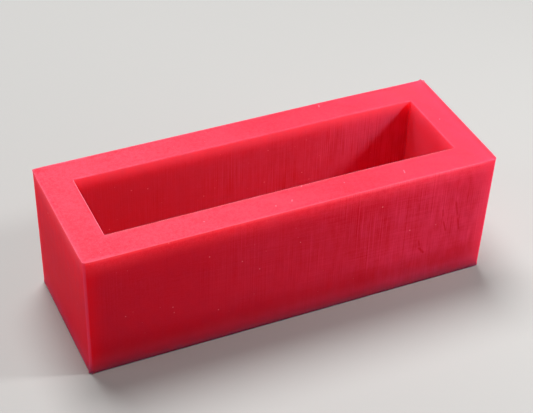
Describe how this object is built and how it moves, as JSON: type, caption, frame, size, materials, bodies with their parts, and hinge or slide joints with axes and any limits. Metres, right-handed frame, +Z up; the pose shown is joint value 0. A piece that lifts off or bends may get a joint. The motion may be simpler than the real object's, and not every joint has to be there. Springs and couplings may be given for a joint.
{
  "type": "soap loaf mould",
  "caption": "Thick-walled rectangular silicone trough, open at the top, for casting a loaf of soap that is later sliced into bars.",
  "frame": {"origin": "centre of the flat resting face, under the middle of the mould", "axes": "+X along the loaf, +Y across the loaf, +Z up out of the open top"},
  "size_m": [0.25, 0.09, 0.081],
  "materials": {
    "silicone": "matte, slightly translucent red silicone"
  },
  "bodies": {
    "root": {"mould_body": "silicone"}
  },
  "joints": []
}
